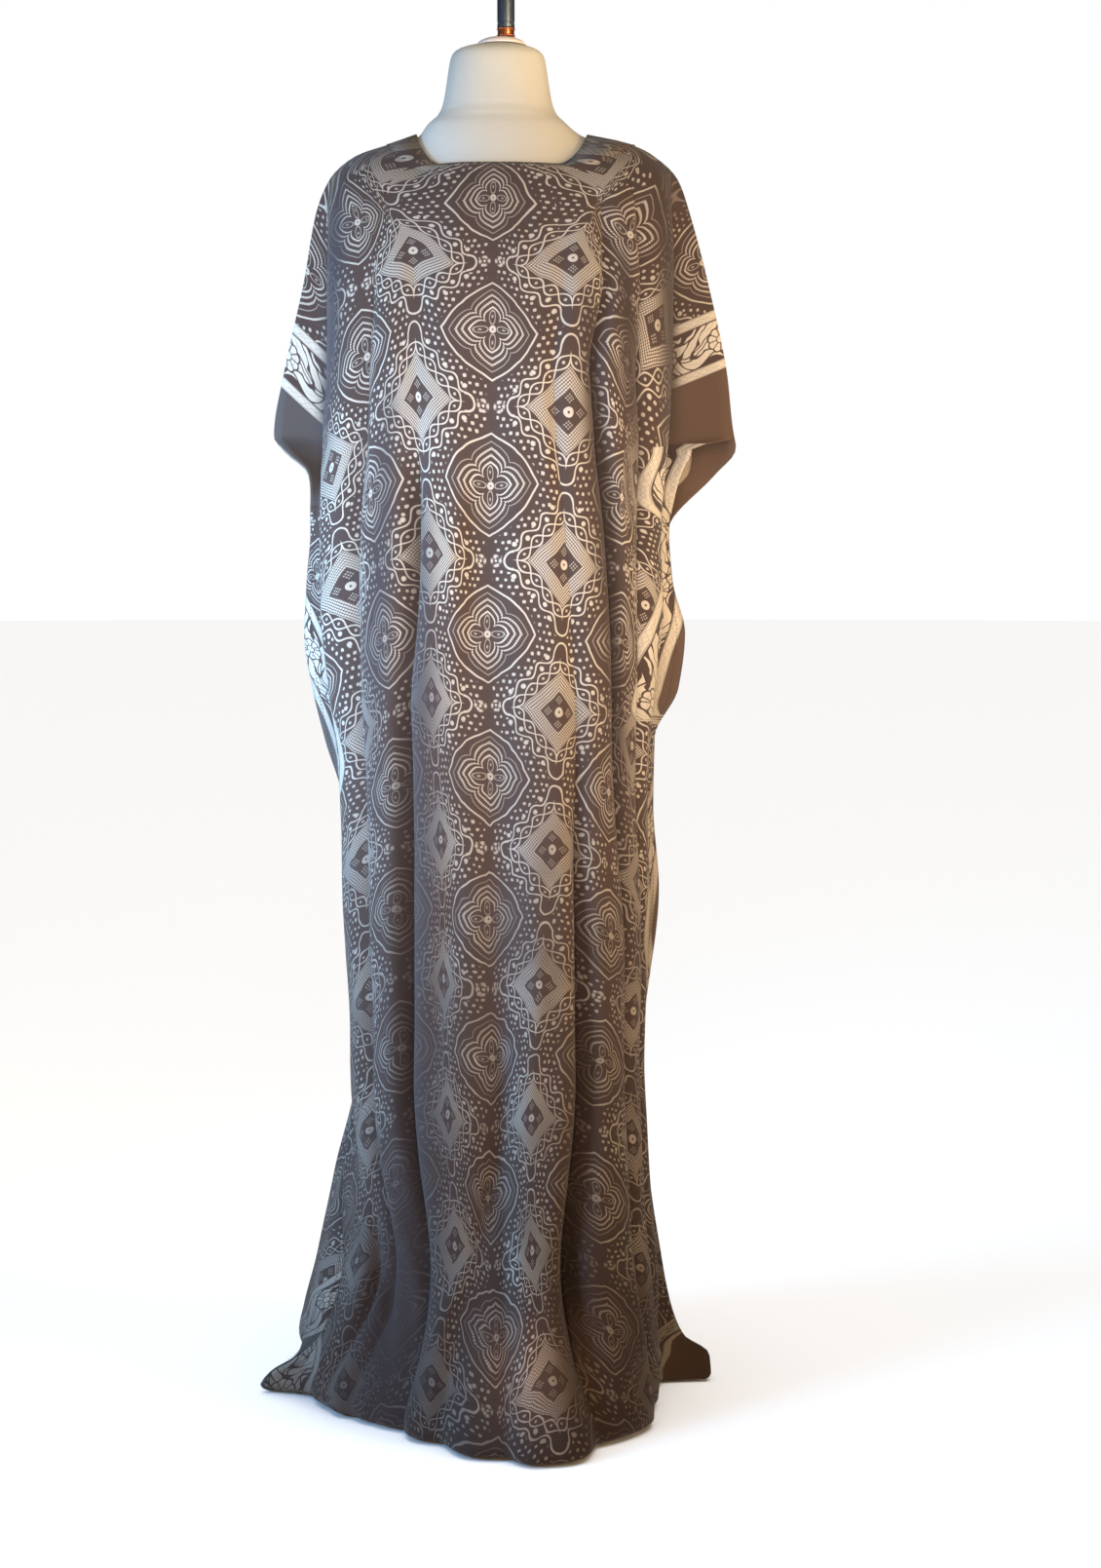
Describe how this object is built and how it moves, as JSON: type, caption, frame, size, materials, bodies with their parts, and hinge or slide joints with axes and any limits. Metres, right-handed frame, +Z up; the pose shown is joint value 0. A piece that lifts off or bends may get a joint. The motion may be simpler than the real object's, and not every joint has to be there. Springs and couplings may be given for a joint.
{
  "type": "baati dress on a limbless dress form with a stand",
  "caption": "Loose floor-length baati dress of printed cotton with wide sleeves, worn by a limbless dress form on a round stand.",
  "frame": {"origin": "on the axis of the stand's pole, at the flat underside of its round base", "axes": "+Z up, the dress's front faces -Y, and +X is to the right seen from the front"},
  "size_m": [0.5326, 0.4592, 1.548],
  "materials": {
    "cloth": "thin printed cotton",
    "form_cover": "smooth cream jersey",
    "white_cap": "satin",
    "copper": "polished copper",
    "grey_metal": "satin dark grey"
  },
  "bodies": {
    "root": {"front_cloth": "cloth", "back_cloth": "cloth", "form_torso": "form_cover", "neck_cap": "white_cap", "copper_ring": "copper", "top_rod": "grey_metal", "stand_socket": "grey_metal", "stand_pole": "grey_metal", "stand_base": "grey_metal"}
  },
  "joints": []
}
